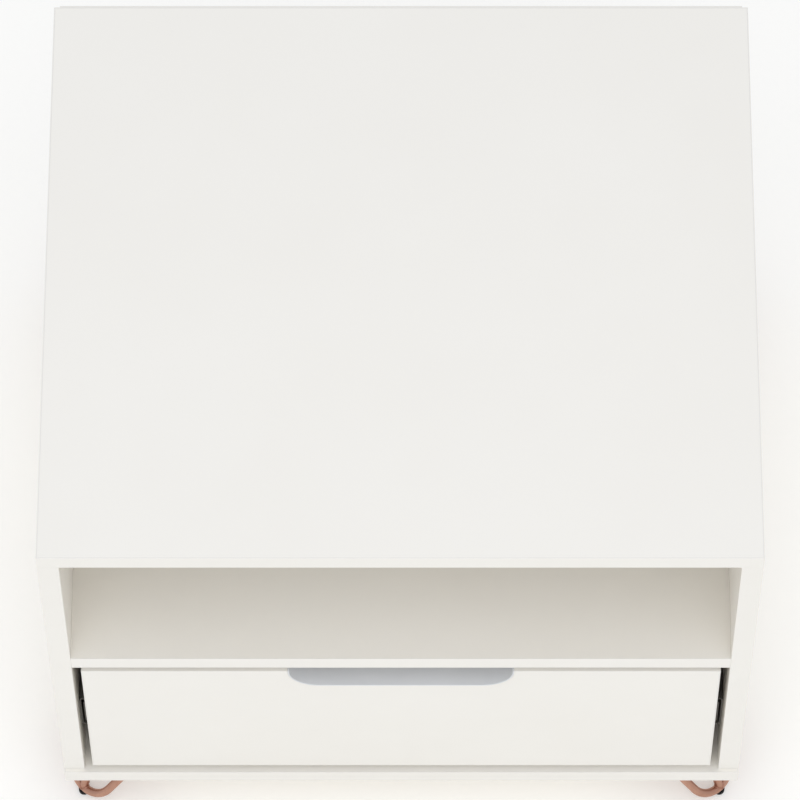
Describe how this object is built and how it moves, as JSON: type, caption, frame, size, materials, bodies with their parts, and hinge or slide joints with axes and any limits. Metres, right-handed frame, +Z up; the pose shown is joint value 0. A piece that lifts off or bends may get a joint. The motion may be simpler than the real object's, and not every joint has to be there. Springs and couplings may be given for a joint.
{
  "type": "bedside cabinet with drawer",
  "caption": "Low white cabinet with an open cubby over a finger-pull drawer on ball slides, on copper hairpin corner feet.",
  "frame": {"origin": "on the floor, under the middle of the cabinet's footprint (bottom panel's front edge to the back panel's rear face)", "axes": "+X to the viewer's right, +Y from the drawer front towards the back, +Z up"},
  "size_m": [0.5, 0.446, 0.422],
  "materials": {
    "white_board": "satin off-white melamine on particle board, white edge band",
    "white_hardboard": "white-lacquered 3 mm hardboard",
    "drawer_board": "satin light melamine on 12 mm board",
    "grey_edge_band": "satin cool grey edge band",
    "copper_steel": "satin rose-copper plated steel rod and plate",
    "zinc_screw": "bright zinc plated",
    "cam_zinc": "dull die-cast zinc",
    "slide_steel": "black-coated rolled steel, satin",
    "black_rubber": "matte"
  },
  "bodies": {
    "carcass": {"bottom_panel": "white_board", "top_panel": "white_board", "shelf": "white_board", "left_side_panel": "white_board", "right_side_panel": "white_board", "back_panel": "white_hardboard", "front_left_foot_plate": "copper_steel", "front_left_hairpin_rod": "copper_steel", "front_left_brace_rod": "copper_steel", "front_left_glide": "black_rubber", "front_left_foot_screw_1": "zinc_screw", "front_left_foot_screw_2": "zinc_screw", "front_left_foot_screw_3": "zinc_screw", "bottom_screw_front_left": "zinc_screw", "cam_lock_front_left": "cam_zinc", "front_right_foot_plate": "copper_steel", "front_right_hairpin_rod": "copper_steel", "front_right_brace_rod": "copper_steel", "front_right_glide": "black_rubber", "front_right_foot_screw_1": "zinc_screw", "front_right_foot_screw_2": "zinc_screw", "front_right_foot_screw_3": "zinc_screw", "bottom_screw_front_right": "zinc_screw", "cam_lock_front_right": "cam_zinc", "rear_left_foot_plate": "copper_steel", "rear_left_hairpin_rod": "copper_steel", "rear_left_brace_rod": "copper_steel", "rear_left_glide": "black_rubber", "rear_left_foot_screw_1": "zinc_screw", "rear_left_foot_screw_2": "zinc_screw", "rear_left_foot_screw_3": "zinc_screw", "bottom_screw_rear_left": "zinc_screw", "cam_lock_rear_left": "cam_zinc", "rear_right_foot_plate": "copper_steel", "rear_right_hairpin_rod": "copper_steel", "rear_right_brace_rod": "copper_steel", "rear_right_glide": "black_rubber", "rear_right_foot_screw_1": "zinc_screw", "rear_right_foot_screw_2": "zinc_screw", "rear_right_foot_screw_3": "zinc_screw", "bottom_screw_rear_right": "zinc_screw", "cam_lock_rear_right": "cam_zinc", "left_cabinet_rail": "slide_steel", "right_cabinet_rail": "slide_steel"},
    "drawer": {"drawer_front": "white_board", "handle_edge_band": "grey_edge_band", "drawer_bottom": "white_hardboard", "drawer_back": "drawer_board", "left_drawer_side": "drawer_board", "right_drawer_side": "drawer_board", "left_drawer_rail": "slide_steel", "right_drawer_rail": "slide_steel"},
    "left_middle": {"left_middle_rail": "slide_steel"},
    "left_outer_cage": {"left_outer_ball_cage": "slide_steel"},
    "left_inner_cage": {"left_inner_ball_cage": "slide_steel"},
    "right_middle": {"right_middle_rail": "slide_steel"},
    "right_outer_cage": {"right_outer_ball_cage": "slide_steel"},
    "right_inner_cage": {"right_inner_ball_cage": "slide_steel"}
  },
  "joints": [
    {"name": "drawer_slide", "type": "slide", "parent": "carcass", "child": "drawer", "axis": [0, -1, 0], "range_m": [0, 0.4]},
    {"name": "left_middle_slide", "type": "slide", "parent": "carcass", "child": "left_middle", "axis": [0, -1, 0], "range_m": [0, 0.2]},
    {"name": "left_outer_cage_roll", "type": "slide", "parent": "carcass", "child": "left_outer_cage", "axis": [0, -1, 0], "range_m": [0, 0.1]},
    {"name": "left_inner_cage_roll", "type": "slide", "parent": "left_middle", "child": "left_inner_cage", "axis": [0, -1, 0], "range_m": [0, 0.1]},
    {"name": "right_middle_slide", "type": "slide", "parent": "carcass", "child": "right_middle", "axis": [0, -1, 0], "range_m": [0, 0.2]},
    {"name": "right_outer_cage_roll", "type": "slide", "parent": "carcass", "child": "right_outer_cage", "axis": [0, -1, 0], "range_m": [0, 0.1]},
    {"name": "right_inner_cage_roll", "type": "slide", "parent": "right_middle", "child": "right_inner_cage", "axis": [0, -1, 0], "range_m": [0, 0.1]}
  ],
  "couplings": [
    {"joint": "left_middle_slide", "follows": "drawer_slide", "ratio": 0.5},
    {"joint": "left_outer_cage_roll", "follows": "drawer_slide", "ratio": 0.25},
    {"joint": "left_inner_cage_roll", "follows": "drawer_slide", "ratio": 0.25},
    {"joint": "right_middle_slide", "follows": "drawer_slide", "ratio": 0.5},
    {"joint": "right_outer_cage_roll", "follows": "drawer_slide", "ratio": 0.25},
    {"joint": "right_inner_cage_roll", "follows": "drawer_slide", "ratio": 0.25}
  ]
}
